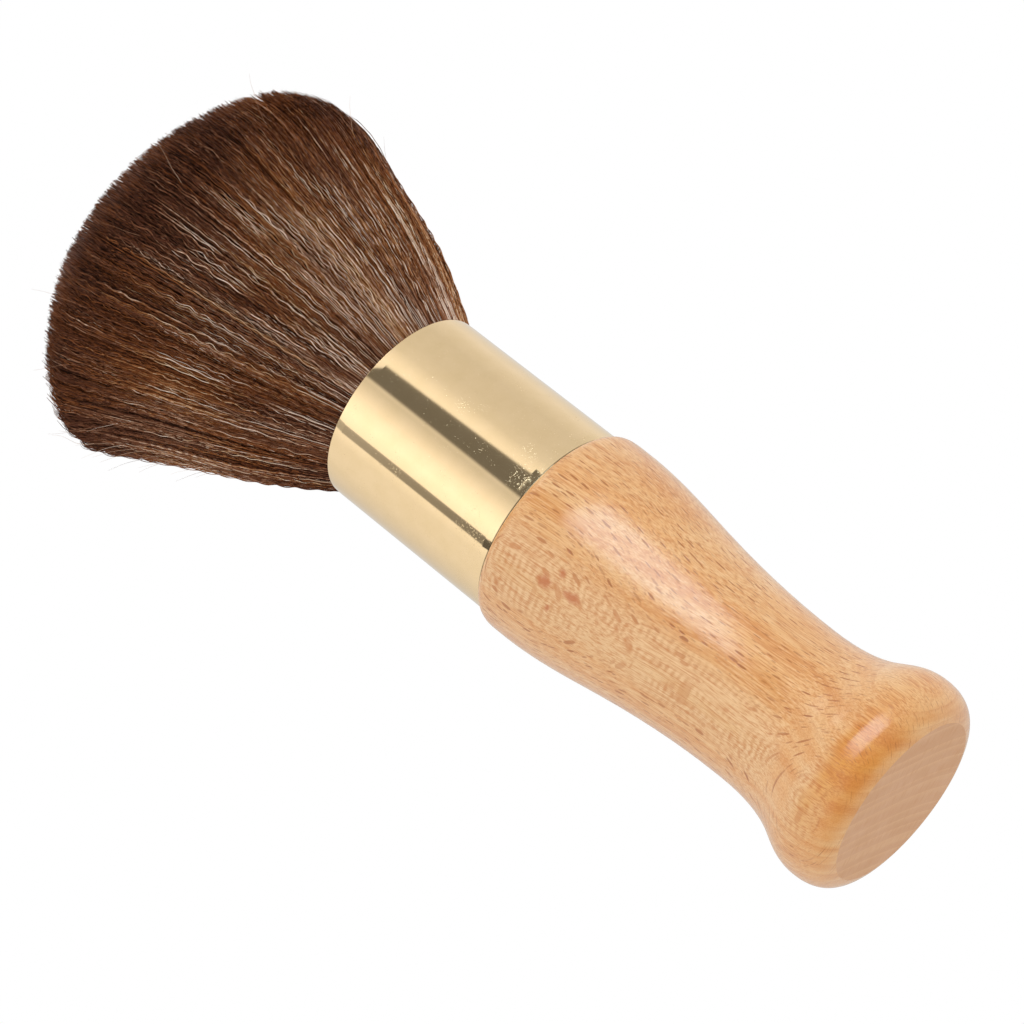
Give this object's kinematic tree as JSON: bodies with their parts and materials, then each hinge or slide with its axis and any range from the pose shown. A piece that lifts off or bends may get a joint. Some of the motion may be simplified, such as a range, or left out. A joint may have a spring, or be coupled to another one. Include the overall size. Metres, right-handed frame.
{
  "type": "neck duster brush",
  "caption": "Barber's neck duster with a turned beech handle, polished gold ferrule and flared dome of soft brown bristles.",
  "frame": {"origin": "centre of the flat butt face of the handle, where the brush stands", "axes": "+Z along the brush's axis, from the butt towards the bristles; the brush is round about Z, so X and Y are free"},
  "size_m": [0.0728, 0.0728, 0.1804],
  "materials": {
    "beech": "clear gloss lacquer over steamed beech",
    "adhesive": "cured clear adhesive",
    "gold_metal": "polished, gold anodised",
    "resin": "set casting resin",
    "thread": "waxed thread",
    "bristle": "crimped synthetic filament, satin"
  },
  "bodies": {
    "root": {"handle": "beech", "tenon_adhesive": "adhesive", "ferrule": "gold_metal", "resin_plug": "resin", "root_binding": "thread", "bristle_tuft": "bristle"}
  },
  "joints": []
}
